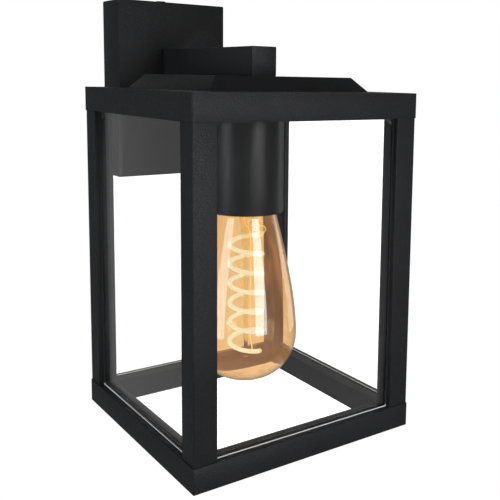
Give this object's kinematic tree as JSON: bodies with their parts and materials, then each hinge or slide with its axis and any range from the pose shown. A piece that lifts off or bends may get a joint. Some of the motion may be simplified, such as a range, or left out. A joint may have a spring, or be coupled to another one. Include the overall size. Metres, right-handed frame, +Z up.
{
  "type": "wall lantern",
  "caption": "Square outdoor wall lantern: a black cage with clear panes hangs from an arm on a wall box and holds a long-filament screw bulb in a lamp cup.",
  "frame": {"origin": "middle of the wall bracket's back, on the wall plane, midway between its two slots", "axes": "+Y into the wall, -Y out to the lantern's front, +Z up, +X to the right of someone facing the wall"},
  "size_m": [0.15, 0.2073, 0.2721],
  "materials": {
    "black_powder_coat": "fine textured matt black powder coat",
    "cup_black": "satin black paint",
    "zinc_steel": "zinc plated, dull",
    "black_screw": "black passivated",
    "brass": "plain brass",
    "nickel_brass": "nickel plated brass",
    "rubber_black": "matt",
    "foam_black": "closed cell foam",
    "silicone": "translucent",
    "ceramic_white": "glazed porcelain",
    "nylon_white": "moulded, matt",
    "clear_glass": "clear, polished, flat",
    "amber_glass": "amber tinted, blown, polished",
    "stem_glass": "clear, drawn",
    "filament": "phosphor coated, bright when lit",
    "nickel_wire": "drawn wire",
    "cap_nickel": "nickel plated, thin sheet",
    "insulator_glass": "dark glass, glossy",
    "solder": "solder, dull",
    "wire_brown": "PVC sheath, brown",
    "wire_blue": "PVC sheath, blue",
    "wire_green_yellow": "PVC sheath, green with yellow stripe"
  },
  "bodies": {
    "bracket": {"wall_bracket": "zinc_steel", "cable_grommet": "rubber_black", "box_screws": "black_screw"},
    "lantern": {"wall_box": "black_powder_coat", "wall_gasket": "foam_black", "terminal_block": "nylon_white", "terminal_sleeves": "brass", "clamp_screws": "zinc_steel", "block_screws": "zinc_steel", "earth_screw": "brass", "arm_collar": "zinc_steel", "collar_screws": "zinc_steel", "arm_tube": "black_powder_coat", "arm_end_cap": "black_powder_coat", "roof_hood": "black_powder_coat", "arm_screw": "zinc_steel", "roof_screws": "zinc_steel", "top_frame": "black_powder_coat", "post_front_left": "black_powder_coat", "post_front_right": "black_powder_coat", "post_rear_left": "black_powder_coat", "post_rear_right": "black_powder_coat", "bottom_frame": "black_powder_coat", "tie_bolts": "zinc_steel", "glass_front": "clear_glass", "glass_rear": "clear_glass", "glass_left": "clear_glass", "glass_right": "clear_glass", "glass_pads": "silicone", "lamp_cup": "cup_black", "threaded_nipple": "brass", "nipple_nuts": "zinc_steel", "holder_dome": "ceramic_white", "holder_core": "ceramic_white", "holder_screw_shell": "nickel_brass", "holder_centre_contact": "brass", "holder_terminals": "brass", "holder_screws": "zinc_steel", "live_wire": "wire_brown", "neutral_wire": "wire_blue", "earth_wire": "wire_green_yellow"},
    "bulb": {"bulb_glass": "amber_glass", "bulb_stem": "stem_glass", "bulb_lead_wires": "nickel_wire", "bulb_filament": "filament", "bulb_cap": "cap_nickel", "bulb_cap_insulator": "insulator_glass", "bulb_end_contact": "solder"}
  },
  "joints": [
    {"name": "lantern_lift_off", "type": "slide", "parent": "bracket", "child": "lantern", "axis": [0, -1, 0], "range_m": [0, 0.045]},
    {"name": "bulb_withdraw", "type": "slide", "parent": "lantern", "child": "bulb", "axis": [0, 0, -1], "range_m": [0, 0.175]}
  ]
}
